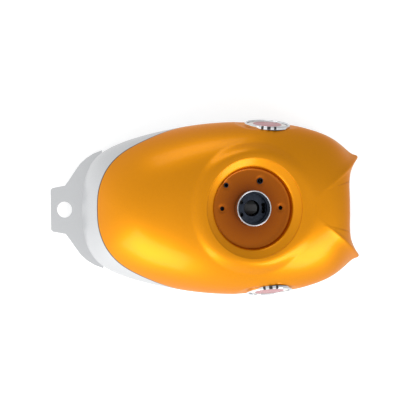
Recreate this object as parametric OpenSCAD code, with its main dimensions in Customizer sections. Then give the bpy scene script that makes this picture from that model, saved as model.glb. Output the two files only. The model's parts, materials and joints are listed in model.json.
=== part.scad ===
// Saddle fuel tank for a small motorcycle, with its in-tank fuel pump.
// +X points to the steering head, +Y to the rider's left, +Z up.
// The origin is at the middle of the footprint, on the surface the tank stands on.

/* [Tank body] */
// Length of the pressed skin, tail to front horns
body_l = 405; // [385:1:425]
// Width of the pressed skin at its widest
body_w = 244; // [240:1:256]
// Height of the crown above the lower edge
crown_h = 185; // [175:1:195]
// Thickness of the steel sheet
sheet = 1.5; // [1.2:0.1:1.8]

/* [Filler] */
// Distance of the filler's centre in front of the origin
filler_x = 70; // [60:1:80]
// Forward lean of the filler's axis, in degrees
filler_lean = 14; // [10:1:16]
// Height of the rim's centre
rim_z = 168; // [165:1:170]
// Radius of the recess at its rim
rim_r = 66; // [62:0.5:68]
// Depth of the recess
cup_depth = 15; // [12:0.5:18]
// Outer radius of the filler neck
neck_r = 24; // [22:0.5:26]
// Radius of the hole that takes a pump nozzle
throat_r = 11; // [10.5:0.1:11.5]

/* [Rear bracket] */
// Distance of the bracket's tail behind the origin
bracket_tail = 228; // [224:1:233]
// Radius of the hole for the rear rubber grommet
grommet_r = 12; // [10:0.5:13]
// Height of the bracket's top face
bracket_z = 30; // [26:1:34]

/* [Frame tunnel] */
// Half the width of the tunnel over the frame tube
tunnel_hw = 38; // [34:1:42]
// Rise of the tunnel towards the steering head, in degrees
tunnel_rise = 9.5; // [8:0.5:11]

/* [Side badges] */
// Radius of each round badge
badge_r = 32; // [28:1:34]

/* [Fuel pump] */
// Distance of the pump's axis in front of the origin
pump_x = 20; // [10:1:30]
// Distance of the pump's axis to the rider's right
pump_y = 71; // [69:1:72]

/* [Hidden] */
$fn = 96;

orange = [0.93, 0.55, 0.04];
silver = [0.80, 0.81, 0.83];
zinc = [0.62, 0.63, 0.66];
dark = [0.16, 0.17, 0.19];
rubber = [0.07, 0.07, 0.08];

x_rear = -177 * body_l / 405;
x_mid = x_rear + body_l / 2;
gap = 0.2;      // clearance left for a weld between two pressings
floor_z = 22;   // height of the bottom pan's flat

// ---- The skin's shape --------------------------------------------------
// Plan outline at the widest line, tail to front, for the left half:
// [share of the length, share of the half width, height of the widest line,
//  squareness of the section, inward lean, tuck under the widest line]
outline = [
    [0.000, 0.000, 46, 2.5, 0.12,  6],
    [0.004, 0.230, 46, 2.5, 0.11,  7],
    [0.017, 0.426, 47, 2.4, 0.09,  8],
    [0.052, 0.615, 50, 2.3, 0.06, 11],
    [0.115, 0.746, 55, 2.2, 0.03, 15],
    [0.210, 0.848, 61, 2.2, 0.01, 19],
    [0.318, 0.923, 66, 2.25, 0.00, 22],
    [0.437, 0.981, 69, 2.45, 0.00, 24],
    [0.556, 0.999, 70, 2.65, 0.00, 24],
    [0.664, 0.993, 70, 2.8, 0.00, 23],
    [0.758, 0.958, 69, 2.8, 0.01, 21],
    [0.839, 0.896, 67, 2.9, 0.04, 18],
    [0.901, 0.821, 65, 3.1, 0.10, 15],
    [0.944, 0.715, 63, 3.5, 0.18, 12],
    [0.975, 0.626, 61, 3.9, 0.24,  9],
    [0.993, 0.606, 60, 4.1, 0.27,  7],
    [1.000, 0.590, 60, 4.2, 0.28,  6],
    [0.991, 0.548, 60, 4.3, 0.26,  5],
    [0.979, 0.470, 60, 4.5, 0.22,  4],
    [0.970, 0.380, 60, 4.7, 0.17,  4],
    [0.963, 0.240, 60, 4.9, 0.12,  4],
    [0.962, 0.096, 60, 5.0, 0.10,  4],
    [0.962, 0.000, 60, 5.0, 0.10,  4]];

// Height of the crown along the tank: [share of the length, share of crown_h]
crown = [[0, 0.68], [0.079, 0.789], [0.214, 0.941], [0.312, 0.989], [0.386, 1],
    [0.484, 0.986], [0.607, 0.930], [0.730, 0.857], [0.853, 0.781],
    [0.958, 0.714], [1, 0.686]];

// Height of the lower edge along the tank: [distance from the origin, height]
lower_edge = [[-240, 30], [-150, 30], [-118, 20], [-80, 5], [-45, 0], [100, 0],
    [140, 3], [180, 13], [215, 28], [240, 40]];

spine_rear = 0.21;   // where the section lines meet on the centre line, as
spine_front = 0.78;  // shares of the body's length
splits = 3;          // points on the outline between two of its keys
above = [8, 16, 24, 32, 40, 47, 54, 60, 66, 72, 77, 82, 86, 90];  // section angles over the widest line
below = [66, 50, 34, 18, 0];                  // and under it

function lerp(a, b, t) = a + (b - a) * t;
function smooth(t) = let (c = min(1, max(0, t))) c * c * (3 - 2 * c);
function catmull(a, b, c, d, t) =
    (2 * b + (c - a) * t + (2 * a - 5 * b + 4 * c - d) * t * t
     + (3 * b - a - 3 * c + d) * t * t * t) / 2;

// A smooth curve through [x, value] keys, straight past its ends
function slope(keys, i) =
    let (n = len(keys) - 1, a = max(0, i - 1), b = min(n, i + 1))
    (keys[b][1] - keys[a][1]) / (keys[b][0] - keys[a][0]);
function segment(keys, x, i = 0) =
    i >= len(keys) - 2 || x < keys[i + 1][0] ? i : segment(keys, x, i + 1);
function curve(keys, x) =
    let (i = segment(keys, x), p = keys[i], q = keys[i + 1],
         w = q[0] - p[0], t = min(1, max(0, (x - p[0]) / w)),
         m = slope(keys, i) * w, n = slope(keys, i + 1) * w)
    p[1] * (1 + 2 * t) * (1 - t) * (1 - t) + q[1] * t * t * (3 - 2 * t)
    + m * t * (1 - t) * (1 - t) - n * t * t * (1 - t);

// A point given in the filler's own frame, in the tank's frame
function from_filler(p) = [
    filler_x + p[0] * cos(filler_lean) + p[2] * sin(filler_lean), p[1],
    rim_z - p[0] * sin(filler_lean) + p[2] * cos(filler_lean)];
function around(r, angle, z) = [r * cos(angle), r * sin(angle), z];

function mirrored(k) = [k[0], -k[1], k[2], k[3], k[4], k[5]];
function key(i) = i < 0 ? mirrored(outline[-i])
    : i > len(outline) - 1 ? mirrored(outline[2 * len(outline) - 2 - i]) : outline[i];
half_ring = [for (i = [0 : len(outline) - 2], j = [0 : splits - 1])
    catmull(key(i - 1), key(i), key(i + 1), key(i + 2), j / splits)];
half_keys = concat(half_ring, [outline[len(outline) - 1]]);
half_n = len(half_keys);
ring_keys = concat(half_keys, [for (i = [half_n - 2 : -1 : 1]) mirrored(half_keys[i])]);
ring_n = len(ring_keys);

// The rim stands on a flat, so the skin around the filler rises to meet it
function rim_radius(p) = norm([(p[0] - filler_x) / cos(filler_lean), p[1]]);
function rim_plane(x, inset) = rim_z - inset - (x - filler_x) * tan(filler_lean);
function with_rim(p, inset) =
    let (w = p[2] > 100 ? 1 - smooth((rim_radius(p) - rim_r - 3) / 20) : 0)
    [p[0], p[1], lerp(p[2], rim_plane(p[0], inset), w)];

// Each badge sits on a flat pressed into the side
badge_at = [92.5, 113.2, 104];
badge_yaw = 3.5;
badge_tilt = 15;
badge_out = [sin(badge_yaw) * cos(badge_tilt), cos(badge_yaw) * cos(badge_tilt), sin(badge_tilt)];
function with_seat(p, inset) =
    let (side = p[1] < 0 ? -1 : 1,
         d = [p[0], side * p[1], p[2]] - badge_at,
         out = d * badge_out + inset,
         across = norm(d - (d * badge_out) * badge_out),
         push = max(0, out) * (1 - smooth((across - badge_r - 5) / 12)))
    [p[0] - push * badge_out[0], p[1] - side * push * badge_out[1], p[2] - push * badge_out[2]];

// A point of the skin over or under the widest line, moved in by inset
function widest(k, inset) = [
    x_mid + (x_rear + k[0] * body_l - x_mid) * (1 - 2 * inset / body_l),
    k[1] * (body_w / 2 - inset)];
function spine(k) = [x_rear + lerp(spine_rear, spine_front, k[0]) * body_l, 0];
function skin_above(k, angle, inset) =
    let (h = 1 - pow(cos(angle), 2 / k[3]), g = pow(sin(angle), 2 / k[3]),
         p = lerp(widest(k, inset), spine(k), k[4] * g + (1 - k[4]) * h),
         top = curve(crown, (p[0] - x_rear) / body_l) * crown_h - inset,
         q = [p[0], p[1], k[2] + (top - k[2]) * g])
    with_seat(with_rim(q, inset), inset);
function skin_below(k, angle, inset, foot) =
    let (inward = spine(k) - widest(k, inset), full = below[0],
         p = widest(k, inset) + inward / norm(inward) * k[5] * (1 - cos(angle)) / (1 - cos(full)))
    with_seat([p[0], p[1], k[2] + (foot - k[2]) * sin(angle) / sin(full)], inset);

// The closed volume inside the skin, down to the height foot
module body_volume(inset, foot = -2) {
    rings = concat(
        [for (a = below) [for (k = ring_keys) skin_below(k, a, inset, foot)]],
        [for (i = [0 : len(above) - 2]) [for (k = ring_keys) skin_above(k, above[i], inset)]],
        [[for (k = half_keys) skin_above(k, 90, inset)]]);
    last = len(rings) - 1;
    function at(r, j) = let (m = (j + ring_n) % ring_n)
        r * ring_n + (r < last || m < half_n ? m : ring_n - m);
    walls = [for (r = [0 : last - 1], j = [0 : ring_n - 1])
        each [[at(r, j), at(r, j + 1), at(r + 1, j + 1)],
              [at(r, j), at(r + 1, j + 1), at(r + 1, j)]]];
    base = [for (j = [0 : half_n - 2])
        each [[at(0, j), at(0, -j - 1), at(0, j + 1)],
              if (j > 0) [at(0, j), at(0, -j), at(0, -j - 1)]]];
    // the two middle points have no mirror twin, so their triangles are single
    base_ok = [for (f = base) if (f[0] != f[1] && f[1] != f[2] && f[0] != f[2]) f];
    polyhedron(points = [for (r = rings) each r], faces = concat(walls, base_ok));
}

// Everything below a curve drawn along the tank
module under(keys, lift = 0) {
    x0 = -260;
    x1 = 260;
    step = 10;
    rotate([90, 0, 0])
        linear_extrude(height = 400, center = true)
            polygon(concat([[x1, -60], [x0, -60]],
                [for (x = [x0 : step : x1]) [x, max(0, curve(keys, x)) + lift]]));
}

// The channel over the frame tube, grown by extra
module tunnel(extra = 0) {
    translate([x_rear, 0, bracket_z - 2])
        rotate([0, -tunnel_rise, 0])
            rotate([90, 0, 90])
                translate([0, 0, -60])
                    linear_extrude(height = 560)
                        union() {
                            translate([0, -tunnel_hw])
                                circle(r = tunnel_hw + extra, $fn = 48);
                            translate([-tunnel_hw - extra, -tunnel_hw - 120])
                                square([2 * (tunnel_hw + extra), 120]);
                        }
}

// Stands its children on a, with their +Z towards b
module along(a, b) {
    d = b - a;
    translate(a)
        rotate([0, acos(d[2] / norm(d)), atan2(d[1], d[0])])
            children();
}

pan_edge = [for (k = lower_edge) [k[0], max(floor_z, k[1] + 6)]];

module at_filler() {
    translate([filler_x, 0, rim_z])
        rotate([0, filler_lean, 0])
            children();
}

grommet_x = -208;   // rear hole, for a bracket tail at -228
cushion_r = 9;      // rubber cushions at the front

// ---- Sizes of the filler -----------------------------------------------
cone_r = 54.5;      // the recess narrows to this under its rim
cone_drop = 6;
cup_fillet = 4;
neck_top = -3.5;    // heights here are along the filler's axis, from the rim
neck_wall = 2;
neck_foot = -42;
restrictor_z = -17;
restrictor_t = 1.5;
collar_drop = 9;
screw_at = 41;      // the cap's screw holes, from the filler's axis
screw_r = 3;
boss_r = 6.5;
boss_h = 11;
drain_r = 4;
drain_top = from_filler(around(39, 71, -cup_depth - sheet));
drain_foot = [94, 66, 8];
breather_r = 3.1;
breather_top = from_filler(around(47, 138, -cup_depth - sheet));
breather_foot = [18, 66, 8];
tube_wall = 0.8;

// ---- Sizes of the badges ------------------------------------------------
pad_t = 1.2;
pad_gap = 0.5;      // adhesive between the pad and its seat
disc_r = 28.3;

// ---- Sizes of the fuel pump --------------------------------------------
pump_hole_r = 22;
stud_circle = 27;
stud_count = 6;
stud_r = 2.5;
flange_r = 31.5;
ring_t = 4;
seal_t = 1.5;
flange_t = 3;
retainer_t = 2.5;
nut_t = 4;
seal_z = floor_z - seal_t;
flange_z = seal_z - flange_t;
retainer_z = flange_z - retainer_t;
nut_z = retainer_z - nut_t;
stud_foot = nut_z - 2;
canister_r = 18.5;
canister_z = 32;
canister_h = 60;
cap_z = canister_z + canister_h;
outlet_r = 4;
outlet_z = 8.5;

// ---- Sizes of the level sender -----------------------------------------
pivot = [pump_x - 28, -pump_y, 61];
arm_reach = 72;
arm_dip = 20;       // the arm hangs this far under level when the tank is empty
arm_rise = 40;      // and stands this far over it when the tank is full
arm_r = 1.2;
arm_side = -5;      // the arm runs beside the sender's plate
pin_r = 1.5;
float_r = 9;
float_l = 32;
plate_t = 2.5;

// ---- Pressings ---------------------------------------------------------
// resize() at its own size leaves a shape as it is and joins it into one mesh
module one_mesh() {
    resize([0, 0, 0])
        children();
}

module outer_skin() {
    color(orange)
        one_mesh()
            difference() {
                body_volume(0);
                body_volume(sheet, foot = -4);
                under(lower_edge);
                tunnel();
                at_filler()
                    cylinder(r = rim_r + gap, h = 80, center = true);
            }
}

module bottom_pan() {
    color(silver)
        one_mesh()
            difference() {
                intersection() {
                    body_volume(sheet + gap);
                    union() {
                        under(pan_edge, sheet);
                        tunnel(sheet);
                    }
                }
                intersection() {
                    body_volume(2 * sheet + gap, foot = -4);
                    under(pan_edge);
                }
                tunnel();
                under(lower_edge);
                translate([pump_x, -pump_y, 0])
                    cylinder(r = pump_hole_r, h = 80, center = true, $fn = 48);
                pump_studs(stud_r + gap, 80);
                along(drain_foot, drain_top)
                    cylinder(r = drain_r + gap, h = 60, center = true, $fn = 24);
                along(breather_foot, breather_top)
                    cylinder(r = breather_r + gap, h = 60, center = true, $fn = 24);
            }
}

module rear_bracket() {
    plate = 2.5;
    lip = 9;
    collar = 8;
    side = [[-228, 30], [-225, 33], [-206, 36.5], [-199, 46], [-191, 58], [-183, 69],
        [-174, 77], [-163, 84], [-150, 89]];
    module outline(inset, out = 0) {
        half = [for (p = side) [p[0] + (p == side[0] || p == side[1] ? -out : 0), p[1] - inset]];
        polygon(concat(half, [for (i = [len(half) - 1 : -1 : 0]) [half[i][0], -half[i][1]]]));
    }
    color(silver)
        translate([228 - bracket_tail, 0, bracket_z])
            difference() {
                union() {
                    translate([0, 0, -plate])
                        linear_extrude(height = plate)
                            outline(0);
                    translate([0, 0, -lip])
                        linear_extrude(height = lip)
                            difference() {
                                outline(0);
                                outline(plate, 10);
                                translate([-160, -100])
                                    square([20, 200]);
                            }
                    translate([grommet_x, 0, -collar])
                        cylinder(r = grommet_r + 2, h = collar);
                }
                translate([grommet_x, 0, -collar - 1])
                    cylinder(r = grommet_r, h = collar + 2);
            }
}

// A cup on the tunnel's wall that slides over a rubber cushion on the frame
module front_mount(side) {
    wall = tunnel_hw;
    deep = 9;
    color(silver)
        translate([172, side * wall, 35])
            rotate([side * 90, 0, 0])
                difference() {
                    union() {
                        cylinder(r = cushion_r + 2.5, h = deep);
                        translate([-18, -12.5, 0])
                            cube([36, 25, 1.5]);
                    }
                    translate([0, 0, 1])
                        cylinder(r = cushion_r, h = deep);
                }
}

// ---- Filler ------------------------------------------------------------
module filler_cup() {
    bend = cone_r - cup_fillet;
    bend_z = -cup_depth + cup_fillet;
    upper = concat([[rim_r, 0], [cone_r, -cone_drop]],
        [for (a = [0 : 15 : 90]) [bend + cup_fillet * cos(a), bend_z - cup_fillet * sin(a)]],
        [[neck_r + gap, -cup_depth]]);
    outer = cup_fillet + sheet;
    lower = concat([[neck_r + gap, -cup_depth - sheet]],
        [for (a = [90 : -15 : 0]) [bend + outer * cos(a), bend_z - outer * sin(a)]],
        [[cone_r + sheet, -cone_drop - sheet / 2], [rim_r, -1.2 * sheet]]);
    color(orange)
        difference() {
            at_filler()
                difference() {
                    rotate_extrude()
                        polygon(concat(upper, lower));
                    for (side = [-1, 1])
                        translate([side * screw_at, 0, -cup_depth - 5])
                            cylinder(r = screw_r + gap, h = 10);
                }
            along(drain_top, drain_foot)
                cylinder(r = drain_r + gap, h = 16, center = true);
            along(breather_top, breather_foot)
                cylinder(r = breather_r + gap, h = 16, center = true);
        }
}

module filler_neck() {
    bead = neck_wall / 2;
    color(zinc)
        at_filler()
            rotate_extrude()
                polygon(concat([[neck_r - neck_wall, neck_foot], [neck_r, neck_foot]],
                    [for (a = [0 : 20 : 180])
                        [neck_r - bead + bead * cos(a), neck_top - bead + bead * sin(a)]]));
}

module nozzle_restrictor() {
    edge = neck_r - neck_wall - 0.1;
    color(dark)
        at_filler()
            translate([0, 0, restrictor_z])
                difference() {
                    union() {
                        cylinder(r = edge, h = restrictor_t);
                        difference() {
                            cylinder(r = edge, h = 6);
                            cylinder(r = edge - restrictor_t, h = 7);
                        }
                        translate([0, 0, -collar_drop])
                            cylinder(r = throat_r + restrictor_t, h = collar_drop);
                    }
                    translate([0, 0, -collar_drop - 1])
                        cylinder(r = throat_r, h = collar_drop + restrictor_t + 2);
                    for (angle = [-16, 0, 16, 150, 210])
                        translate(around(16.8, angle, -1))
                            cylinder(r = 2.8, h = 5, $fn = 32);
                }
}

module cap_screw_bosses() {
    blind = 2;
    color(zinc)
        at_filler()
            for (side = [-1, 1])
                translate([side * screw_at, 0, -cup_depth - sheet - boss_h])
                    difference() {
                        cylinder(r = boss_r, h = boss_h);
                        translate([0, 0, blind])
                            cylinder(r = screw_r, h = boss_h);
                    }
}

// A tube from the recess's floor down through the tank, with a hose bead
module recess_tube(foot, top, r) {
    color(zinc)
        difference() {
            along(foot, top)
                difference() {
                    union() {
                        cylinder(r = r, h = norm(top - foot) + 8);
                        translate([0, 0, 1])
                            cylinder(r = r + 0.6, h = 2);
                    }
                    translate([0, 0, -1])
                        cylinder(r = r - tube_wall, h = norm(top - foot) + 10);
                }
            at_filler()
                translate([0, 0, -cup_depth])
                    cylinder(r = 60, h = 30);
        }
}

module drain_tube() {
    recess_tube(drain_foot, drain_top, drain_r);
}

module breather_tube() {
    recess_tube(breather_foot, breather_top, breather_r);
}

// ---- Badges ------------------------------------------------------------
module at_badge(side) {
    mirror([0, side < 0 ? 1 : 0, 0])
        translate(badge_at)
            rotate([0, 0, -badge_yaw])
                rotate([badge_tilt - 90, 0, 0])
                    children();
}

module badge_pad(side) {
    color(rubber)
        at_badge(side)
            translate([0, 0, pad_gap])
                cylinder(r = badge_r - 1, h = pad_t);
}

module badge_bezel(side) {
    lip = badge_r - disc_r - gap;
    color(zinc)
        at_badge(side)
            translate([0, 0, pad_gap + pad_t])
                rotate_extrude()
                    polygon(concat([[disc_r + gap, 0], [badge_r, 0]],
                        [for (a = [0 : 15 : 180])
                            [disc_r + gap + lip / 2 + lip / 2 * cos(a), 2.4 + lip / 2 * sin(a)]]));
}

module badge_disc(side) {
    color([0.72, 0.10, 0.08])
        at_badge(side)
            translate([0, 0, pad_gap + pad_t])
                rotate_extrude()
                    polygon([[0, 0], [disc_r, 0], [disc_r, 1.8], [disc_r * 0.7, 2.6], [0, 3.0]]);
}

// ---- Fuel pump ---------------------------------------------------------
module at_pump(z) {
    translate([pump_x, -pump_y, z])
        children();
}

module at_each_stud() {
    for (i = [0 : stud_count - 1])
        rotate([0, 0, (i + 0.5) * 360 / stud_count])
            translate([stud_circle, 0, 0])
                children();
}

module pump_studs(r, h) {
    at_pump(0)
        at_each_stud()
            cylinder(r = r, h = h, center = true, $fn = 32);
}

module pump_plate(z, r, bore, t) {
    difference() {
        at_pump(z)
            difference() {
                cylinder(r = r, h = t);
                translate([0, 0, -1])
                    cylinder(r = bore, h = t + 2);
            }
        pump_studs(stud_r + gap, 200);
    }
}

module pump_weld_ring() {
    ring_z = floor_z + sheet;
    stud_h = ring_z + ring_t - stud_foot;
    color(zinc)
        union() {
            at_pump(ring_z)
                difference() {
                    cylinder(r = flange_r, h = ring_t);
                    translate([0, 0, -1])
                        cylinder(r = pump_hole_r, h = ring_t + 2);
                }
            translate([0, 0, stud_foot + stud_h / 2])
                pump_studs(stud_r, stud_h);
        }
}

module pump_seal() {
    color(rubber)
        pump_plate(seal_z, flange_r - 0.5, pump_hole_r, seal_t);
}

module pump_flange() {
    color(dark)
        difference() {
            union() {
                at_pump(flange_z)
                    cylinder(r = flange_r - 0.5, h = flange_t);
                at_pump(flange_z)
                    cylinder(r = pump_hole_r - 0.5, h = canister_z - flange_z);
            }
            pump_studs(stud_r + gap, 200);
        }
}

module pump_retainer() {
    color(zinc)
        pump_plate(retainer_z, flange_r, pump_hole_r - 3, retainer_t);
}

module pump_nuts() {
    nut_r = 4.6;
    color(zinc)
        difference() {
            at_pump(nut_z)
                at_each_stud()
                    cylinder(r = nut_r, h = nut_t, $fn = 6);
            pump_studs(stud_r + 0.05, 200);
        }
}

module pump_canister() {
    color(dark)
        at_pump(canister_z)
            union() {
                cylinder(r = canister_r, h = canister_h);
                cylinder(r = canister_r + 1, h = 8);
                for (i = [0 : 5])
                    rotate([0, 0, i * 60 + 30])
                        translate([canister_r - 1, -1.5, 0])
                            cube([1.8, 3, 20]);
            }
}

module pump_end_cap() {
    color(dark)
        at_pump(cap_z)
            union() {
                cylinder(r = canister_r + 0.8, h = 5);
                cylinder(r = canister_r - 4, h = 7);
                translate([-9, 0, 0])
                    cylinder(r = 3.2, h = 15);
            }
}

module suction_strainer() {
    near = 32;
    far = 58;
    half_w = 11;
    thick = 9;
    color([0.85, 0.84, 0.78])
        at_pump(canister_z + 2)
            union() {
                for (x = [near, far])
                    translate([x, 0, 0])
                        cylinder(r = half_w, h = thick);
                translate([near, -half_w, 0])
                    cube([far - near, 2 * half_w, thick]);
                translate([canister_r + 1, -4, 1])
                    cube([6, 8, 6]);
            }
}

module pressure_regulator() {
    color(zinc)
        at_pump(cap_z + 7)
            translate([6, 0, 0])
                union() {
                    cylinder(r = 8, h = 12);
                    cylinder(r = 9.2, h = 3);
                    cylinder(r = 4.5, h = 16);
                }
}

module fuel_outlet() {
    reach = 54;
    leg = 9;
    shoulder = 18;
    bore = 2.5;
    color(zinc)
        at_pump(outlet_z)
            difference() {
                union() {
                    translate([-leg, 0, 0])
                        cylinder(r = outlet_r + 1.5, h = flange_z - outlet_z);
                    translate([-leg, 0, 0])
                        sphere(r = outlet_r + 1.5, $fn = 48);
                    translate([-leg, 0, 0])
                        rotate([0, -90, 0])
                            cylinder(r = outlet_r + 1.5, h = shoulder - leg);
                    translate([-leg, 0, 0])
                        rotate([0, -90, 0])
                            cylinder(r = outlet_r, h = reach - leg);
                }
                translate([-leg, 0, 0])
                    rotate([0, -90, 0])
                        cylinder(r = bore, h = reach);
                translate([-leg, 0, 0])
                    cylinder(r = bore, h = 20);
            }
}

module wire_connector() {
    foot = 4;
    high = 10;
    wide = 16;
    wall = 1.6;
    color(dark)
        at_pump(foot)
            difference() {
                union() {
                    translate([2, -wide / 2, 0])
                        cube([34, wide, high]);
                    translate([2, -6, 0])
                        cube([12, 12, flange_z - foot]);
                    translate([24, -3, high])
                        cube([8, 6, 0.8]);
                }
                translate([20, wall - wide / 2, wall])
                    cube([20, wide - 2 * wall, high - 2 * wall]);
            }
}

module connector_pins() {
    color(zinc)
        at_pump(9)
            for (y = [-4.5, -1.5, 1.5, 4.5])
                translate([20, y - 0.8, -0.4])
                    cube([10, 1.6, 0.8]);
}

// ---- Level sender ------------------------------------------------------
function on_arm(angle, reach) = pivot + reach * [-cos(angle), 0, sin(angle)];
function over_arm(angle) = [sin(angle), 0, cos(angle)];

module crossways(at, r, y0, y1) {
    translate([at[0], at[1] + y1, at[2]])
        rotate([90, 0, 0])
            cylinder(r = r, h = y1 - y0, $fn = 32);
}

module sender_bracket() {
    stop_r = 1.5;
    stop_gap = arm_r + stop_r + 0.2;
    color(zinc)
        difference() {
            union() {
                at_pump(pivot[2] - 7)
                    cylinder(r = canister_r + 1.8, h = 14);
                translate([pivot[0] - 10, pivot[1] - plate_t / 2, pivot[2] - 10])
                    cube([20, plate_t, 21]);
                crossways(on_arm(-arm_dip, 8) - stop_gap * over_arm(-arm_dip), stop_r, arm_side - 2, 0);
                crossways(on_arm(arm_rise, 8) + stop_gap * over_arm(arm_rise), stop_r, arm_side - 2, 0);
            }
            at_pump(pivot[2] - 20)
                cylinder(r = canister_r + 0.3, h = 40);
            crossways(pivot, pin_r + 0.08, -20, 20);
        }
}

module sender_card() {
    card_t = 1;
    color([0.20, 0.35, 0.22])
        difference() {
            translate([pivot[0] - 9, pivot[1] + plate_t / 2, pivot[2] - 9])
                cube([15, card_t, 18]);
            crossways(pivot, pin_r + 0.8, -20, 20);
        }
}

module float_arm() {
    tip = on_arm(-arm_dip, arm_reach);
    side = [0, arm_side, 0];
    inner = float_l + 2;
    color(zinc)
        union() {
            crossways(pivot, pin_r, arm_side, 4.4);
            crossways(pivot, pin_r + 1.2, 3.2, 4.4);
            along(pivot + side, tip + side)
                cylinder(r = arm_r, h = arm_reach, $fn = 32);
            translate(pivot + side)
                sphere(r = pin_r + 0.4, $fn = 32);
            translate(tip + side)
                sphere(r = arm_r + 0.3, $fn = 32);
            crossways(tip, arm_r, arm_side, arm_side + inner);
        }
}

module fuel_float() {
    tip = on_arm(-arm_dip, arm_reach);
    start = arm_side + arm_r + 0.6;
    color(rubber)
        difference() {
            union() {
                crossways(tip, float_r - 1, start, start + float_l - 3);
                crossways(tip, float_r, start + 1, start + float_l - 4);
            }
            crossways(tip, arm_r + 0.1, start - 1, start + float_l);
        }
}

outer_skin();
bottom_pan();
filler_cup();
filler_neck();
nozzle_restrictor();
cap_screw_bosses();
drain_tube();
breather_tube();
rear_bracket();
front_mount(1);  // front_mount_left
front_mount(-1);  // front_mount_right
badge_pad(1);  // left_badge_pad
badge_bezel(1);  // left_badge_bezel
badge_disc(1);  // left_badge_disc
badge_pad(-1);  // right_badge_pad
badge_bezel(-1);  // right_badge_bezel
badge_disc(-1);  // right_badge_disc
pump_weld_ring();
pump_seal();
pump_flange();
pump_retainer();
pump_nuts();
pump_canister();
pump_end_cap();
suction_strainer();
pressure_regulator();
fuel_outlet();
wire_connector();
connector_pins();
sender_bracket();
sender_card();
float_arm();
fuel_float();
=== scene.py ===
"""Looks of the motorcycle fuel tank: painted skin, recess, neck, badges and fittings."""
import json
import math

import bpy
import numpy as np
from mathutils import Matrix, Vector


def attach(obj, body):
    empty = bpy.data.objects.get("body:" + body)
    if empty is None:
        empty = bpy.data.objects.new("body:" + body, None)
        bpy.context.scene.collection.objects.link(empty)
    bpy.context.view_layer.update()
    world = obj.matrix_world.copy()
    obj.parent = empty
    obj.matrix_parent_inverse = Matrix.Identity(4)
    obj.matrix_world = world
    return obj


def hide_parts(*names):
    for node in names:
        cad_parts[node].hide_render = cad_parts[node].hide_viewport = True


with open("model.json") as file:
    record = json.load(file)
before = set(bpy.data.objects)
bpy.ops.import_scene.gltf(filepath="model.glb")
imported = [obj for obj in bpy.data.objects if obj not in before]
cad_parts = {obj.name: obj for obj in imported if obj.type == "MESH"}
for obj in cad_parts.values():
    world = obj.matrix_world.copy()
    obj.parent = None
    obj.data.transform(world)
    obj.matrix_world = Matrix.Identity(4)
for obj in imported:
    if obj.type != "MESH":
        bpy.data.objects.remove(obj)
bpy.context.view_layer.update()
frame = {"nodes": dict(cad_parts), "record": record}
MM = 0.001

# ---- The tank's design, in millimetres, as the CAD source has it ----------
BODY_L, BODY_W, CROWN_H = 405, 244, 185
X_REAR = -177
SHEET = 1.5
FILLER_X, RIM_Z, RIM_R = 70, 168, 66
FILLER_LEAN = math.radians(14)
CUP_DEPTH, CONE_R, CONE_DROP, CUP_FILLET = 15, 54.5, 6, 4
NECK_R = 24
TUNNEL_HW, TUNNEL_Z, TUNNEL_RISE = 38, 28, math.radians(9.5)
BADGE_AT, BADGE_R, BADGE_PAD, DISC_R = (92.5, 113.2, 104), 32, 1.2, 28.3
BADGE_YAW, BADGE_TILT, BADGE_GAP = math.radians(3.5), math.radians(15), 0.5
SPINE = (0.21, 0.78)
# The skin rises to the rim's plane, and presses in behind a badge: [flat, blend]
RIM_FLAT, RIM_BLEND, RIM_LOWEST = 3, 20, 100
SEAT_FLAT, SEAT_BLEND = 5, 12
FOOT_Z, FOOT_ANGLE = -2, math.radians(66)

# [share of the length, share of the half width, height of the widest line,
#  squareness of the section, inward lean, tuck under the widest line]
OUTLINE = np.array([
    [0.000, 0.000, 46, 2.5, 0.12,  6],
    [0.004, 0.230, 46, 2.5, 0.11,  7],
    [0.017, 0.426, 47, 2.4, 0.09,  8],
    [0.052, 0.615, 50, 2.3, 0.06, 11],
    [0.115, 0.746, 55, 2.2, 0.03, 15],
    [0.210, 0.848, 61, 2.2, 0.01, 19],
    [0.318, 0.923, 66, 2.25, 0.00, 22],
    [0.437, 0.981, 69, 2.45, 0.00, 24],
    [0.556, 0.999, 70, 2.65, 0.00, 24],
    [0.664, 0.993, 70, 2.8, 0.00, 23],
    [0.758, 0.958, 69, 2.8, 0.01, 21],
    [0.839, 0.896, 67, 2.9, 0.04, 18],
    [0.901, 0.821, 65, 3.1, 0.10, 15],
    [0.944, 0.715, 63, 3.5, 0.18, 12],
    [0.975, 0.626, 61, 3.9, 0.24,  9],
    [0.993, 0.606, 60, 4.1, 0.27,  7],
    [1.000, 0.590, 60, 4.2, 0.28,  6],
    [0.991, 0.548, 60, 4.3, 0.26,  5],
    [0.979, 0.470, 60, 4.5, 0.22,  4],
    [0.970, 0.380, 60, 4.7, 0.17,  4],
    [0.963, 0.240, 60, 4.9, 0.12,  4],
    [0.962, 0.096, 60, 5.0, 0.10,  4],
    [0.962, 0.000, 60, 5.0, 0.10,  4]])
CROWN = [(0, 0.68), (0.079, 0.789), (0.214, 0.941), (0.312, 0.989), (0.386, 1),
         (0.484, 0.986), (0.607, 0.930), (0.730, 0.857), (0.853, 0.781),
         (0.958, 0.714), (1, 0.686)]
LOWER_EDGE = [(-240, 30), (-150, 30), (-118, 20), (-80, 5), (-45, 0), (100, 0),
              (140, 3), (180, 13), (215, 28), (240, 40)]
# Where the orange meets the silver: [distance from the origin, height]
PAINT_LINE = [(-160, 133), (-142, 131.5), (-130, 128.5), (-115, 124.5), (-95, 122.5),
              (-78, 120), (-60, 113), (-40, 102), (-15, 87), (15, 73), (60, 60),
              (150, 48), (240, 42)]
STRIPE_W, STRIPE_EDGE = 1.8, 0.25
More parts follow.
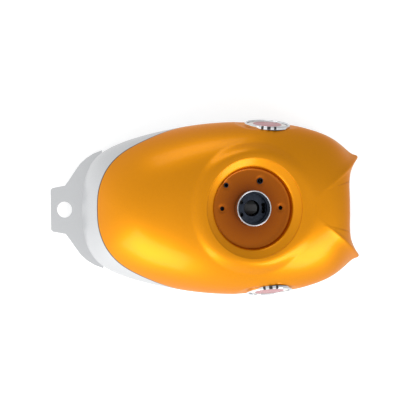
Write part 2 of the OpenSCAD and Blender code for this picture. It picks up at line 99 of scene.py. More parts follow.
# Holes in the recess's floor: [radius from the filler's axis, bearing, hole radius]
SCREW_HOLES = [(41, 0, 3.0), (41, 180, 3.0)]
TUBE_HOLES = [(39, 71, 4.0), (47, 138, 3.1)]
DIMPLE, DIMPLE_W = 0.9, 4.5
SHARP_EDGE = math.radians(40)
HALVINGS = 40          # steps in which a section's angle is found
# How the skin's grid is laid out
CORNER_WEIGHT = 40     # how much a turn of the outline draws columns to it
SPOKES = 28            # how far straight spokes run out from the rim
NEAR_POWER = 1.3       # rows crowd towards the rim
FAR_POWER = 2.1        # and towards the widest line
RIM_SHARE, RIM_ROWS = 0.225, 0.3    # share of a column's length, and of its rows
SEARCH_ROWS = 10       # rows by the rim that never meet the lower edge


def smoothstep(t):
    t = np.clip(t, 0, 1)
    return t * t * (3 - 2 * t)


def blur(values, sigma, closed):
    """Values along a line, softened with a bell of that many samples."""
    reach = int(4 * sigma)
    bell = np.exp(-0.5 * (np.arange(-reach, reach + 1) / sigma) ** 2)
    bell /= bell.sum()
    if closed:
        padded = np.concatenate([values[-reach:], values, values[:reach]])
    else:
        first, last = values[0], values[-1]
        padded = np.concatenate([2 * first - values[reach:0:-1], values,
                                 2 * last - values[-2:-reach - 2:-1]])
    return np.convolve(padded, bell, mode="valid")


class Curve:
    """A smooth curve through keys, read with a call."""

    def __init__(self, keys, soft, step=1.0, lowest=None):
        x, v = np.array(keys, float).T
        slope = np.gradient(v, x)
        slope[1:-1] = (v[2:] - v[:-2]) / (x[2:] - x[:-2])
        self.x = np.arange(x[0], x[-1] + step / 2, step)
        i = np.clip(np.searchsorted(x, self.x, side="right") - 1, 0, len(x) - 2)
        w = x[i + 1] - x[i]
        t = (self.x - x[i]) / w
        value = (v[i] * (1 + 2 * t) * (1 - t) ** 2 + v[i + 1] * t * t * (3 - 2 * t)
                 + slope[i] * w * t * (1 - t) ** 2 - slope[i + 1] * w * t * t * (1 - t))
        if lowest is not None:
            value = np.maximum(value, lowest)
        self.v = blur(value, soft / step, False)

    def __call__(self, x):
        return np.interp(x, self.x, self.v)


crown = Curve([(X_REAR + a * BODY_L, b * CROWN_H) for a, b in CROWN], 9)
lower_edge = Curve(LOWER_EDGE, 4, lowest=0)
paint_height = Curve(PAINT_LINE, 6)


def outline_ring(per_key=32, soft=0.35):
    """The plan outline as dense keys, from the tail round the left side to the front."""
    flip = np.array([1, -1, 1, 1, 1, 1])
    keys = np.vstack([OUTLINE[1] * flip, OUTLINE, OUTLINE[-2] * flip])
    t = np.linspace(0, 1, per_key, endpoint=False)[:, None]
    rows = []
    for a, b, c, d in zip(keys, keys[1:], keys[2:], keys[3:]):
        rows.append((2 * b + (c - a) * t + (2 * a - 5 * b + 4 * c - d) * t * t
                     + (3 * b - a - 3 * c + d) * t ** 3) / 2)
    half = np.vstack(rows + [OUTLINE[-1:]])
    ring = np.vstack([half, (half * flip)[-2:0:-1]])
    ring = np.column_stack([blur(col, soft * per_key, True) for col in ring.T])
    half = ring[:len(half)]
    half[[0, -1], 1] = 0
    return half


RING = outline_ring()
RING_XY = np.column_stack([X_REAR + RING[:, 0] * BODY_L, RING[:, 1] * BODY_W / 2])
RING_SPINE = X_REAR + (SPINE[0] + (SPINE[1] - SPINE[0]) * RING[:, 0]) * BODY_L


def ring_at(index):
    """Outline point, spine point and section keys at a fractional ring index."""
    i = np.clip(index.astype(int), 0, len(RING) - 2)
    t = (index - i)[:, None]
    xy = RING_XY[i] * (1 - t) + RING_XY[i + 1] * t
    keys = RING[i] * (1 - t) + RING[i + 1] * t
    spine = RING_SPINE[i] * (1 - t[:, 0]) + RING_SPINE[i + 1] * t[:, 0]
    return xy, spine, keys


def ring_index(x, y):
    """The ring index whose section line runs through each point (y at or over 0)."""
    y = np.maximum(y, 1e-6)
    found = np.empty(len(x))
    wx = (RING_XY[:, 0] - RING_SPINE)[:, None]
    wy = RING_XY[:, 1][:, None]
    for start in range(0, len(x), 4000):
        px, py = x[start:start + 4000], y[start:start + 4000]
        side = wx * py - wy * (px - RING_SPINE[:, None])
        i = np.maximum(1, np.argmax(side > 0, axis=0))
        cols = np.arange(len(px))
        low, high = side[i - 1, cols], side[i, cols]
        found[start:start + 4000] = i - 1 + np.clip(-low / (high - low + 1e-12), 0, 1)
    return found


def rim_height(x):
    return RIM_Z - (x - FILLER_X) * math.tan(FILLER_LEAN)


def skin_height(x, y):
    """Height of the skin over the widest line, at points in plan."""
    y = np.abs(y)
    xy, spine, keys = ring_at(ring_index(x, y))
    reach = np.hypot(xy[:, 0] - spine, xy[:, 1])
    inward = 1 - np.clip(np.hypot(x - spine, y) / reach, 0, 1)
    power, lean = 2 / keys[:, 3], keys[:, 4]
    low, high = np.zeros(len(x)), np.full(len(x), math.pi / 2)
    for _ in range(HALVINGS):
        mid = (low + high) / 2
        g = np.sin(mid) ** power
        h = 1 - np.cos(mid) ** power
        over = lean * g + (1 - lean) * h > inward
        high = np.where(over, mid, high)
        low = np.where(over, low, mid)
    g = np.sin((low + high) / 2) ** power
    z = keys[:, 2] + (crown(x) - keys[:, 2]) * g
    away = np.hypot((x - FILLER_X) / math.cos(FILLER_LEAN), y)
    rim = np.where(z > RIM_LOWEST, 1 - smoothstep((away - RIM_R - RIM_FLAT) / RIM_BLEND), 0)
    return z + (rim_height(x) - z) * rim


def badge_axes():
    """The left badge's own axes: along the tank, down the side, and outwards."""
    yaw = Matrix.Rotation(-BADGE_YAW, 3, "Z")
    tilt = Matrix.Rotation(BADGE_TILT - math.pi / 2, 3, "X")
    return np.array(yaw @ tilt)


def seat_badges(points):
    """Presses the flat behind each badge into the side."""
    out = badge_axes()[:, 2]
    side = np.where(points[:, 1] < 0, -1.0, 1.0)
    mirrored = points * np.column_stack([np.ones_like(side), side, np.ones_like(side)])
    d = mirrored - BADGE_AT
    height = d @ out
    across = np.linalg.norm(d - height[:, None] * out, axis=1)
    push = np.maximum(0, height) * (1 - smoothstep((across - BADGE_R - SEAT_FLAT) / SEAT_BLEND))
    moved = mirrored - push[:, None] * out
    moved[:, 1] *= side
    return moved


def arch_height(x, y):
    """Height of the skin's lower end: its edge, or the arch over the frame tube."""
    slope = math.tan(TUNNEL_RISE)
    roof = TUNNEL_Z + (x - X_REAR) * slope
    y = np.minimum(np.abs(y), TUNNEL_HW)
    arch = roof - (TUNNEL_HW - np.sqrt(TUNNEL_HW ** 2 - y ** 2)) / math.cos(TUNNEL_RISE)
    inside = (np.abs(y) < TUNNEL_HW) & (x > 100)
    return np.where(inside, np.maximum(arch, lower_edge(x)), lower_edge(x))


def skin_grid(columns=576, near=14, far=60, under=22, rows=110):
    """The skin as a grid of points: rows from the filler's rim to the lower edge."""
    half = columns // 2
    steps = np.hypot(*np.diff(RING_XY, axis=0).T)
    turning = np.abs(np.gradient(np.unwrap(np.arctan2(*np.diff(RING_XY, axis=0).T[::-1]))))
    weight = np.cumsum(np.concatenate([[0], steps + CORNER_WEIGHT * turning]))
    index = np.interp(np.linspace(0, weight[-1], half + 1), weight, np.arange(len(weight)))
    end, spine, keys = ring_at(index)
    beta = np.arctan2(end[:, 1], (end[:, 0] - FILLER_X) / math.cos(FILLER_LEAN))
    spokes = np.column_stack([np.cos(beta) * math.cos(FILLER_LEAN), np.sin(beta)])
    start = np.array([FILLER_X, 0]) + spokes * RIM_R
    plan = []
    for s in np.linspace(0, 1, near, endpoint=False) ** NEAR_POWER:
        plan.append(start + spokes * SPOKES * s)
    bend = start + spokes * SPOKES
    for s in np.linspace(0, 1, far):
        plan.append(bend + (end - bend) * (1 - (1 - s) ** FAR_POWER))
    grid = []
    for p in plan:
        grid.append(np.column_stack([p, skin_height(p[:, 0], p[:, 1])]))
    grid[-1][:, 2] = keys[:, 2]
    inward = np.column_stack([spine, np.zeros(len(spine))]) - end
    inward /= np.linalg.norm(inward, axis=1)[:, None]
    foot = np.full(len(end), float(FOOT_Z))
    for s in np.linspace(0, 1, under + 1)[1:]:
        z = keys[:, 2] + (foot - keys[:, 2]) * s
        turn = np.arcsin(np.sin(FOOT_ANGLE) * s)
        tuck = keys[:, 5] * (1 - np.cos(turn)) / (1 - math.cos(FOOT_ANGLE))
        grid.append(np.column_stack([end + inward * tuck[:, None], z]))
    grid = np.array([seat_badges(g) for g in grid])
    return np.array([trim_column(grid[:, j], rows) for j in range(half + 1)]).transpose(1, 0, 2)


def trim_column(line, rows):
    """One column, cut where it meets the lower edge or the arch, in even steps."""
    clear = line[:, 2] - arch_height(line[:, 0], line[:, 1])
    clear[:SEARCH_ROWS] = 1
    last = np.argmax(clear < 0)
    if clear[last] >= 0:
        last = len(line) - 1
        share = 1.0
    else:
        share = clear[last - 1] / (clear[last - 1] - clear[last])
    tip = line[last - 1] + (line[last] - line[last - 1]) * share
    line = np.vstack([line[:last], tip])
    length = np.concatenate([[0], np.cumsum(np.linalg.norm(np.diff(line, axis=0), axis=1))])
    s = np.linspace(0, 1, rows)
    s = np.where(s < RIM_ROWS, s * (RIM_SHARE / RIM_ROWS),
                 RIM_SHARE + (s - RIM_ROWS) * (1 - RIM_SHARE) / (1 - RIM_ROWS))
    at = s * length[-1]
    return np.column_stack([np.interp(at, length, line[:, i]) for i in range(3)])


def mirror_columns(grid):
    """A grid over half the tank, joined with its mirror image into closed rows."""
    other = grid[:, -2:0:-1] * np.array([1, -1, 1])
    return np.concatenate([grid, other], axis=1)


def line_distance(grid):
    """Distance over the skin from the paint line, in millimetres, positive above it."""
    f = grid[..., 2] - paint_height(grid[..., 0])
    du = np.roll(grid, -1, 1) - np.roll(grid, 1, 1)
    fu = np.roll(f, -1, 1) - np.roll(f, 1, 1)
    dv, fv = np.gradient(grid, axis=0) * 2, np.gradient(f, axis=0) * 2
    e, g = (du * du).sum(-1), (dv * dv).sum(-1)
    m = (du * dv).sum(-1)
    slope = (g * fu ** 2 - 2 * m * fu * fv + e * fv ** 2) / np.maximum(e * g - m * m, 1e-9)
    return f / np.sqrt(np.maximum(slope, 0.05))


# ---- Mesh helpers ---------------------------------------------------------
def new_piece(name, verts, faces, body="tank", replaces=(), smooth=True):
    """A mesh piece from millimetre points; it rides on a body."""
    mesh = bpy.data.meshes.new(name)
    mesh.from_pydata([tuple(v * MM) for v in np.asarray(verts, float)], [], faces)
    mesh.update()
    if smooth:
        mesh.shade_smooth()
    piece = bpy.data.objects.new(name, mesh)
    bpy.context.scene.collection.objects.link(piece)
    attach(piece, body)
    if replaces:
        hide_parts(*replaces)
    return piece


def grid_faces(rows, cols, closed=True, offset=0):
    faces = []
    for r in range(rows - 1):
        for c in range(cols if closed else cols - 1):
            d = (c + 1) % cols
            faces.append((offset + r * cols + c, offset + (r + 1) * cols + c,
                          offset + (r + 1) * cols + d, offset + r * cols + d))
    return faces


def at_filler(points):
    """Points in the filler's own frame, moved to the tank's."""
    p = np.asarray(points, float)
    c, s = math.cos(FILLER_LEAN), math.sin(FILLER_LEAN)
    return np.column_stack([FILLER_X + p[:, 0] * c + p[:, 2] * s, p[:, 1],
                            RIM_Z - p[:, 0] * s + p[:, 2] * c])


def revolve(profile, segments=192):
    """Points and faces of a profile of [radius, height] turned about Z."""
    a = np.linspace(0, 2 * math.pi, segments, endpoint=False)
    rows = [np.column_stack([r * np.cos(a), r * np.sin(a), np.full(segments, z)])
            for r, z in profile]
    return np.vstack(rows), grid_faces(len(profile), segments)


def rounded(points, radius, steps=6):
    """A line of [radius, height] points with its inner corners rounded."""
    pts = [np.array(p, float) for p in points]
    out = [pts[0]]
    for a, b, c in zip(pts, pts[1:], pts[2:]):
        u, v = a - b, c - b
        cut = min(radius, 0.45 * np.linalg.norm(u), 0.45 * np.linalg.norm(v))
        p, q = b + u / np.linalg.norm(u) * cut, b + v / np.linalg.norm(v) * cut
        for t in np.linspace(0, 1, steps):
            out.append(p * (1 - t) ** 2 + 2 * b * t * (1 - t) + q * t * t)
    return out + [pts[-1]]


def fill_gaps(points, longest):
    """The same line with points added so that no step is longer than that."""
    out = [points[0]]
    for a, b in zip(points, points[1:]):
        n = max(1, int(math.ceil(np.linalg.norm(np.subtract(b, a)) / longest)))
        out += [np.array(a) + (np.array(b) - np.array(a)) * i / n for i in range(1, n + 1)]
    return out


def modify(piece, kind, **values):
    m = piece.modifiers.new(kind.lower(), kind)
    for key, value in values.items():
        setattr(m, key, value)
    return m


# ---- Materials ------------------------------------------------------------
class Shader:
    """A material's node tree, with short ways to add and join nodes."""

    def __init__(self, name):
        self.material = bpy.data.materials.new(name)
        self.material.use_nodes = True
        self.tree = self.material.node_tree
        self.bsdf = self.tree.nodes["Principled BSDF"]

    def add(self, kind, **values):
        node = self.tree.nodes.new(kind)
        for key, value in values.items():
            setattr(node, key, value)
        return node

    def join(self, a, b):
        self.tree.links.new(a, b)

    def put(self, **values):
        for key, value in values.items():
            self.bsdf.inputs[key.replace("_", " ")].default_value = value

    def noise(self, scale, detail=4.0, roughness=0.5):
        coords = self.add("ShaderNodeTexCoord")
        node = self.add("ShaderNodeTexNoise")
        node.inputs["Scale"].default_value = scale
        node.inputs["Detail"].default_value = detail
        node.inputs["Roughness"].default_value = roughness
        self.join(coords.outputs["Object"], node.inputs["Vector"])
        return node.outputs["Fac"]

    def ramp(self, value, stops):
        node = self.add("ShaderNodeValToRGB")
        ramp = node.color_ramp
        while len(ramp.elements) < len(stops):
            ramp.elements.new(0.5)
        for element, (at, colour) in zip(ramp.elements, stops):
            element.position = at
            element.color = (*colour, 1)
        self.join(value, node.inputs["Fac"])
        return node.outputs["Color"]

    def span(self, value, low, high, to_low=0.0, to_high=1.0):
        node = self.add("ShaderNodeMapRange")
        ends = {"From Min": low, "From Max": high, "To Min": to_low, "To Max": to_high}
        for key, v in ends.items():
            node.inputs[key].default_value = v
        self.join(value, node.inputs["Value"])
        return node.outputs["Result"]

    def mix(self, share, a, b):
        node = self.add("ShaderNodeMix", data_type="RGBA")
        self.join(share, node.inputs[0])
        for socket, v in ((node.inputs[6], a), (node.inputs[7], b)):
            if isinstance(v, tuple):
                socket.default_value = (*v, 1)
            else:
                self.join(v, socket)
        return node.outputs[2]

    def bump(self, height, strength, distance=0.0005):
        node = self.add("ShaderNodeBump")
        node.inputs["Strength"].default_value = strength
        node.inputs["Distance"].default_value = distance
        self.join(height, node.inputs["Height"])
        self.join(node.outputs["Normal"], self.bsdf.inputs["Normal"])


ORANGE_DEEP, ORANGE = (0.70, 0.245, 0.0005), (0.84, 0.315, 0.001)
# Painted shade: the recess's floor is darker and browner, and darker and redder still by the
# neck
RECESS_SHADE_DEEP, RECESS_SHADE = (0.375, 0.088, 0.0004), (0.50, 0.136, 0.0007)
NECK_SHADE_DEEP, NECK_SHADE_LIGHT = (0.24, 0.046, 0.0003), (0.32, 0.070, 0.0005)
DEPTH_SHADE_FROM, DEPTH_SHADE_AT = -6.5, -13     # heights from the rim where the painted shade, darker and browner, begins and is full
NECK_SHADE_AT, NECK_SHADE_TO = 27, 55              # radii between which the painted shade by the neck, darker and redder, fades
SILVER_DEEP, SILVER = (0.56, 0.57, 0.585), (0.68, 0.69, 0.70)
STRIPE = (0.045, 0.045, 0.04)
EDGE_TINT = (1.0, 0.60, 0.10)


def flakes(shader):
    return shader.span(shader.noise(2600, 2), 0.35, 0.65)


def paint_finish(shader):
    """Metallic paint under clear lacquer: fine flakes, faint orange peel and dust."""
    shader.put(Metallic=0.9, Coat_Weight=0.25, Coat_Roughness=0.15, Coat_IOR=1.5)
    shader.join(shader.span(shader.noise(900, 2), 0.3, 0.7, 0.38, 0.46),
                shader.bsdf.inputs["Roughness"])
    shader.bump(shader.noise(140, 2), 0.04, 0.0004)


def skin_paint():
    """Orange over silver with a stripe where they meet, by the distance stored on the mesh."""
    s = Shader("skin_paint")
    flake = flakes(s)
    away = s.add("ShaderNodeAttribute", attribute_name="line_distance").outputs["Fac"]
    edge, half = STRIPE_EDGE, STRIPE_W / 2
    orange = s.mix(flake, ORANGE_DEEP, ORANGE)
    silver = s.mix(flake, SILVER_DEEP, SILVER)
    lower = s.mix(s.span(away, -half - edge, -half), silver, STRIPE)
    above = s.span(away, half, half + edge)
    s.join(s.mix(above, lower, orange), s.bsdf.inputs["Base Color"])
    s.join(s.mix(above, (1.0, 1.0, 1.0), EDGE_TINT), s.bsdf.inputs["Specular Tint"])
    paint_finish(s)
    return s.material


def recess_paint_with_shade():
    """The skin's orange, with painted shade: browner towards the recess's floor and redder by
    the neck.
    """
    s = Shader("recess_paint_with_shade")
    flake = flakes(s)
    axis = (math.sin(FILLER_LEAN), 0, math.cos(FILLER_LEAN))
    coords = s.add("ShaderNodeTexCoord")
    from_rim = s.add("ShaderNodeVectorMath", operation="SUBTRACT")
    from_rim.inputs[1].default_value = (FILLER_X * MM, 0, RIM_Z * MM)
    s.join(coords.outputs["Object"], from_rim.inputs[0])
    along = s.add("ShaderNodeVectorMath", operation="DOT_PRODUCT")
    along.inputs[1].default_value = axis
    s.join(from_rim.outputs["Vector"], along.inputs[0])
    sideways = s.add("ShaderNodeVectorMath", operation="CROSS_PRODUCT")
    sideways.inputs[1].default_value = axis
    s.join(from_rim.outputs["Vector"], sideways.inputs[0])
    off_axis = s.add("ShaderNodeVectorMath", operation="LENGTH")
    s.join(sideways.outputs["Vector"], off_axis.inputs[0])
    # Painted shade: darker and browner with depth below the rim, and darker and redder near the
    # neck
    deep = s.span(along.outputs["Value"], DEPTH_SHADE_FROM * MM, DEPTH_SHADE_AT * MM)
    outer = s.span(off_axis.outputs["Value"], NECK_SHADE_AT * MM, NECK_SHADE_TO * MM)
    upper = s.mix(flake, ORANGE_DEEP, ORANGE)
    lower = s.mix(outer, s.mix(flake, NECK_SHADE_DEEP, NECK_SHADE_LIGHT), s.mix(flake, RECESS_SHADE_DEEP, RECESS_SHADE))
    s.join(s.mix(deep, upper, lower), s.bsdf.inputs["Base Color"])
    s.put(Specular_Tint=(*EDGE_TINT, 1))
    paint_finish(s)
    return s.material


def plain_paint(name, deep, light):
    s = Shader(name)
    s.join(s.mix(flakes(s), deep, light), s.bsdf.inputs["Base Color"])
    paint_finish(s)
    return s.material


def metal(name, dark, light, rough, grain=300, bump=0.15):
    s = Shader(name)
    s.put(Metallic=1.0)
    cloud = s.noise(grain, 6, 0.6)
    s.join(s.mix(s.span(cloud, 0.3, 0.7), dark, light), s.bsdf.inputs["Base Color"])
    s.join(s.span(s.noise(grain * 3, 4), 0.3, 0.7, rough * 0.8, rough * 1.25),
           s.bsdf.inputs["Roughness"])
    s.bump(s.noise(grain * 5, 3), bump, 0.0002)
    return s.material


def moulded(name, dark, light, rough, grain=900, bump=0.3):
    s = Shader(name)
    s.join(s.mix(s.span(s.noise(60, 5), 0.3, 0.7), dark, light), s.bsdf.inputs["Base Color"])
    s.join(s.span(s.noise(grain / 2, 4), 0.3, 0.7, rough * 0.85, rough * 1.15),
           s.bsdf.inputs["Roughness"])
    s.bump(s.noise(grain, 3), bump, 0.0002)
    return s.material


def enamel(name, dark, light):
    """Fired enamel under clear resin: cloudy colour, fine grain and a glassy top."""
    s = Shader(name)
    s.put(Coat_Weight=0.4, Coat_Roughness=0.06, Coat_IOR=1.5)
    s.join(s.mix(s.span(s.noise(350, 5), 0.3, 0.7), dark, light), s.bsdf.inputs["Base Color"])
    s.join(s.span(s.noise(1500, 3), 0.3, 0.7, 0.28, 0.40), s.bsdf.inputs["Roughness"])
    s.bump(s.noise(700, 3), 0.08, 0.0002)
    return s.material


materials = {
    "skin": skin_paint(),
    "orange_paint": recess_paint_with_shade(),
    "silver_paint": plain_paint("bracket_paint", SILVER_DEEP, SILVER),
    "zinc_plate": metal("zinc", (0.42, 0.43, 0.46), (0.66, 0.67, 0.70), 0.26),
    # Near-black steel; on the tubes under the recess's holes it is painted shade that makes the
    # holes read black
    "dark_steel": metal("dark_steel", (0.018, 0.022, 0.032), (0.05, 0.06, 0.08), 0.36),
    "chrome_trim": metal("chrome", (0.72, 0.73, 0.75), (0.86, 0.87, 0.89), 0.07, bump=0.02),
    "pin_brass": metal("brass", (0.45, 0.32, 0.12), (0.72, 0.56, 0.26), 0.3),
    "black_rubber": moulded("rubber", (0.012, 0.012, 0.013), (0.03, 0.03, 0.032), 0.75),
    "black_plastic": moulded("plastic", (0.015, 0.015, 0.017), (0.035, 0.035, 0.038), 0.45),
    "strainer_mesh": moulded("strainer", (0.45, 0.44, 0.38), (0.70, 0.69, 0.62), 0.8,
                             grain=2500, bump=0.8),
    "resistor_card": moulded("card", (0.03, 0.09, 0.04), (0.06, 0.16, 0.07), 0.5),
    "badge_enamel": enamel("red_enamel", (0.30, 0.025, 0.04), (0.42, 0.04, 0.06)),
    "cream_enamel": enamel("cream_enamel", (0.62, 0.58, 0.54), (0.74, 0.70, 0.66)),
    "black_enamel": enamel("black_enamel", (0.006, 0.005, 0.007), (0.014, 0.012, 0.015)),
}


def dress(piece, key):
    piece.data.materials.clear()
    piece.data.materials.append(materials[key])


# ---- Skin and recess ------------------------------------------------------
def build_skin():
    grid = mirror_columns(skin_grid())
    rows, cols = grid.shape[:2]
    piece = new_piece("tank_skin", grid.reshape(-1, 3), grid_faces(rows, cols),
                      replaces=("outer_skin",))
    away = piece.data.attributes.new("line_distance", "FLOAT", "POINT")
    away.data.foreach_set("value", line_distance(grid).reshape(-1).astype(np.float32))
    dress(piece, "skin")
    modify(piece, "SOLIDIFY", thickness=SHEET * MM, offset=-1, use_even_offset=True)
    return piece


def build_cup():
    upper = rounded([(RIM_R + 0.1, -0.05), (CONE_R, -CONE_DROP), (CONE_R, -CUP_DEPTH),
                     (NECK_R + 0.2, -CUP_DEPTH)], CUP_FILLET)
    under = [(r + (SHEET if r > CONE_R - 6 else 0), z - SHEET) for r, z in upper[::-1]]
    under = [(min(r, RIM_R), z) for r, z in under]
    points, faces = revolve(fill_gaps(upper + under, 1.2) + [upper[0]], 288)
    for r, bearing, hole in SCREW_HOLES + TUBE_HOLES:
        x, y, _ = around(r, bearing, 0)
        away = np.hypot(points[:, 0] - x, points[:, 1] - y)
        points[:, 2] -= DIMPLE * (1 - smoothstep((away - hole) / DIMPLE_W))
    weld = len(points) - len(revolve([upper[0]], 288)[0])
    faces = [tuple(i - weld if i >= weld else i for i in f) for f in faces]
    piece = new_piece("recess_cup", at_filler(points[:weld]), faces,
                      replaces=("filler_cup",))
    drill(piece, [around(r, bearing, -CUP_DEPTH) + (hole,)
                  for r, bearing, hole in SCREW_HOLES + TUBE_HOLES])
    dress(piece, "orange_paint")
    return piece


def around(r, bearing, z):
    a = math.radians(bearing)
    return (r * math.cos(a), r * math.sin(a), z)


def drill(piece, holes, deep=8, segments=48):
    """Cuts round holes along the filler's axis, each given as x, y, z and radius."""
    verts, faces = [], []
    for x, y, z, radius in holes:
        a = np.linspace(0, 2 * math.pi, segments, endpoint=False)
        ring = np.column_stack([x + radius * np.cos(a), y + radius * np.sin(a),
                                np.full(segments, z)])
        start = len(verts)
        verts += list(ring - [0, 0, deep]) + list(ring + [0, 0, deep])
        faces += [(start + i, start + (i + 1) % segments, start + segments + (i + 1) % segments,
                   start + segments + i) for i in range(segments)]
        faces.append(tuple(start + i for i in range(segments))[::-1])
        faces.append(tuple(start + segments + i for i in range(segments)))
    mesh = bpy.data.meshes.new("drill")
    mesh.from_pydata([tuple(v * MM) for v in at_filler(verts)], [], faces)
    tool = bpy.data.objects.new("drill", mesh)
    bpy.context.scene.collection.objects.link(tool)
    cut = modify(piece, "BOOLEAN", object=tool, operation="DIFFERENCE", solver="EXACT")
    bpy.context.view_layer.update()
    ready = piece.evaluated_get(bpy.context.evaluated_depsgraph_get())
    result = bpy.data.meshes.new_from_object(ready)
    piece.modifiers.remove(cut)
    piece.data = result
    result.set_sharp_from_angle(angle=SHARP_EDGE)
    bpy.data.objects.remove(tool)


# The badge's face from its edge to its middle: [radius, height, finish up to there]
FACE_RINGS = [(DISC_R, 0.0, "black_enamel"), (DISC_R, 1.7, "black_enamel"),
              (27.2, 1.9, "black_enamel"), (27.0, 2.15, "cream_enamel"),
              (21.2, 2.45, "cream_enamel"), (21.0, 2.45, "chrome_trim"),
              (20.7, 2.75, "chrome_trim"), (20.2, 2.75, "chrome_trim"),
              (19.9, 2.45, "badge_enamel"), (14.0, 2.75, "badge_enamel"),
              (7.0, 2.95, "badge_enamel"), (0.8, 3.0, "badge_enamel")]
FACE_STEP = 1.5
# The bars over the bezel: [bearing, width], how far they stand off it, its rim's height
MARKS = [(-106, 3.4), (-90, 4.8), (-74, 3.4)]
MARK_LIFT, BEZEL_GAP, BEZEL_TOP = 0.15, 0.2, 2.4


def at_badge(points, side):
    """Points in a badge's own frame, moved to the left (1) or right (-1) side of the tank."""
    p = np.asarray(points, float) @ badge_axes().T + BADGE_AT
    return p * [1, side, 1]


def face_out(faces, side):
    return faces if side > 0 else [f[::-1] for f in faces]


def build_badge_face(name, side):
    """Domed enamel disc: black outer ring, cream ring, chrome wire and a red middle."""
    base = BADGE_GAP + BADGE_PAD
    line = [FACE_RINGS[0]]
    for a, b in zip(FACE_RINGS, FACE_RINGS[1:]):
        n = max(1, int(math.hypot(b[0] - a[0], b[1] - a[1]) / FACE_STEP))
        line += [(a[0] + (b[0] - a[0]) * i / n, a[1] + (b[1] - a[1]) * i / n, b[2])
                 for i in range(1, n + 1)]
    segments = 128
    points, faces = revolve([(r, z + base) for r, z, _ in line], segments)
    faces = [f[::-1] for f in faces]
    faces.append(tuple(range(len(points) - segments, len(points))))
    faces.append(tuple(range(segments))[::-1])
    piece = new_piece(name, at_badge(points, side), face_out(faces, side),
                      replaces=(name.replace("face", "disc"),))
    keys = ["black_enamel", "cream_enamel", "chrome_trim", "badge_enamel"]
    for key in keys:
        piece.data.materials.append(materials[key])
    for i, face in enumerate(piece.data.polygons):
        row = min(i // segments + 1, len(line) - 1)
        face.material_index = keys.index(line[row][2])
    piece.data.set_sharp_from_angle(angle=SHARP_EDGE)
    return piece


def build_badge_marks(name, side):
    """Three plain dark bars that wrap over the top of the bezel."""
    base = BADGE_GAP + BADGE_PAD
    lip = (BADGE_R - DISC_R - BEZEL_GAP) / 2
    middle = DISC_R + BEZEL_GAP + lip
    over = lip + MARK_LIFT
    outside = [(BADGE_R + MARK_LIFT, 0.3)]
    outside += [(middle + over * math.cos(a), BEZEL_TOP + over * math.sin(a))
                for a in np.linspace(0, math.pi, 10)]
    outside += [(26.4, 2.55), (25.6, 2.35)]
    inside = [(max(r - 0.5, 25.7) if z < 2.5 else r, z - 0.45) for r, z in outside[::-1]]
    profile = outside + inside
    verts, faces = [], []
    for bearing, width in MARKS:
        reach = math.degrees(width / 2 / BADGE_R)
        start = len(verts)
        steps = np.radians(np.linspace(bearing - reach, bearing + reach, 6))
        for a in steps:
            verts += [(r * math.cos(a), r * math.sin(a), z + base) for r, z in profile]
        n = len(profile)
        for i in range(len(steps) - 1):
            for j in range(n):
                k = (j + 1) % n
                faces.append((start + i * n + j, start + i * n + k,
                              start + (i + 1) * n + k, start + (i + 1) * n + j))
        faces.append(tuple(start + j for j in range(n))[::-1])
        faces.append(tuple(start + (len(steps) - 1) * n + j for j in range(n)))
    piece = new_piece(name, at_badge(verts, side), face_out(faces, side))
    dress(piece, "black_enamel")
    piece.data.set_sharp_from_angle(angle=SHARP_EDGE)
    return piece


build_skin()
build_cup()
for word, side in (("left", 1), ("right", -1)):
    build_badge_face(word + "_badge_face", side)
    build_badge_marks(word + "_badge_marks", side)

for row in frame["record"]["subparts"]:
    node = frame["nodes"][row["node"]]
    if not node.hide_render:
        dress(node, row["material_slot"])

# ---- Floor, light and camera ----------------------------------------------
FLOOR_SIZE = 4.0
CAMERA_HEIGHT = 1.150
CAMERA_AT = (-0.003, 0.012)
CAMERA_ROLL = math.radians(-0.72)
LENS = 66.9
BRIGHT_SIDE = (-0.45, -0.70, -0.15)
DIM, BRIGHT = 0.54, 1.36


def build_floor():
    mesh = bpy.data.meshes.new("floor")
    h = FLOOR_SIZE / 2
    mesh.from_pydata([(-h, -h, 0), (h, -h, 0), (h, h, 0), (-h, h, 0)], [], [(0, 1, 2, 3)])
    floor = bpy.data.objects.new("floor", mesh)
    bpy.context.scene.collection.objects.link(floor)
    s = Shader("floor")
    s.put(Roughness=0.9, Specular_IOR_Level=0.0, Emission_Color=(1, 1, 1, 1),
          Emission_Strength=0.3)
    s.join(s.mix(s.noise(3, 2), (0.95, 0.95, 0.95), (0.97, 0.97, 0.97)),
           s.bsdf.inputs["Base Color"])
    mesh.materials.append(s.material)
    floor.visible_glossy = False


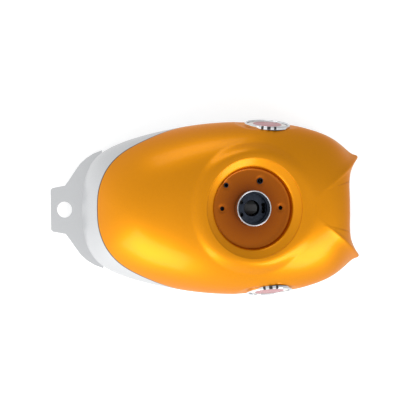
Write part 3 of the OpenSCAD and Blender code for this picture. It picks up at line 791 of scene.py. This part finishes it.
def area_light(name, bearing, elevation, size, radiance, away=1.3):
    """A soft box at that bearing and elevation from the tank, in degrees."""
    a, e = math.radians(bearing), math.radians(elevation)
    at = Vector((math.cos(a) * math.cos(e), math.sin(a) * math.cos(e), math.sin(e))) * away
    data = bpy.data.lights.new(name, "AREA")
    data.shape = "RECTANGLE"
    data.size, data.size_y = size
    data.energy = radiance * math.pi * size[0] * size[1]
    light = bpy.data.objects.new(name, data)
    light.location = at
    light.rotation_euler = (Vector((0, 0, 0.1)) - at).to_track_quat("-Z", "Y").to_euler()
    bpy.context.scene.collection.objects.link(light)
    return light


def build_studio():
    """A room that is brightest towards the rear right and dims overhead."""
    world = bpy.data.worlds.new("studio")
    world.use_nodes = True
    tree = world.node_tree
    background = tree.nodes["Background"]
    coords = tree.nodes.new("ShaderNodeTexCoord")
    toward = tree.nodes.new("ShaderNodeVectorMath")
    toward.operation = "DOT_PRODUCT"
    toward.inputs[1].default_value = BRIGHT_SIDE
    tree.links.new(coords.outputs["Generated"], toward.inputs[0])
    ramp = tree.nodes.new("ShaderNodeMapRange")
    ramp.inputs["From Min"].default_value = -0.8
    ramp.inputs["From Max"].default_value = 0.9
    ramp.inputs["To Min"].default_value = DIM
    ramp.inputs["To Max"].default_value = BRIGHT
    tree.links.new(toward.outputs["Value"], ramp.inputs["Value"])
    tree.links.new(ramp.outputs["Result"], background.inputs["Strength"])
    background.inputs["Color"].default_value = (1, 1, 1, 1)
    bpy.context.scene.world = world
    area_light("soft_rear", -124, 24, (0.85, 0.75), 2.7)
    area_light("soft_front", -38, 30, (0.60, 0.48), 3.9)
    area_light("soft_left", 97, 20, (0.95, 0.45), 1.4)
    bpy.context.scene.view_settings.view_transform = "Standard"


def build_camera():
    data = bpy.data.cameras.new("camera")
    data.lens = LENS
    data.sensor_width = 36
    camera = bpy.data.objects.new("camera", data)
    camera.location = (CAMERA_AT[0], CAMERA_AT[1], CAMERA_HEIGHT)
    camera.rotation_euler = (0, 0, CAMERA_ROLL)
    bpy.context.scene.collection.objects.link(camera)
    bpy.context.scene.camera = camera


build_floor()
build_studio()
build_camera()
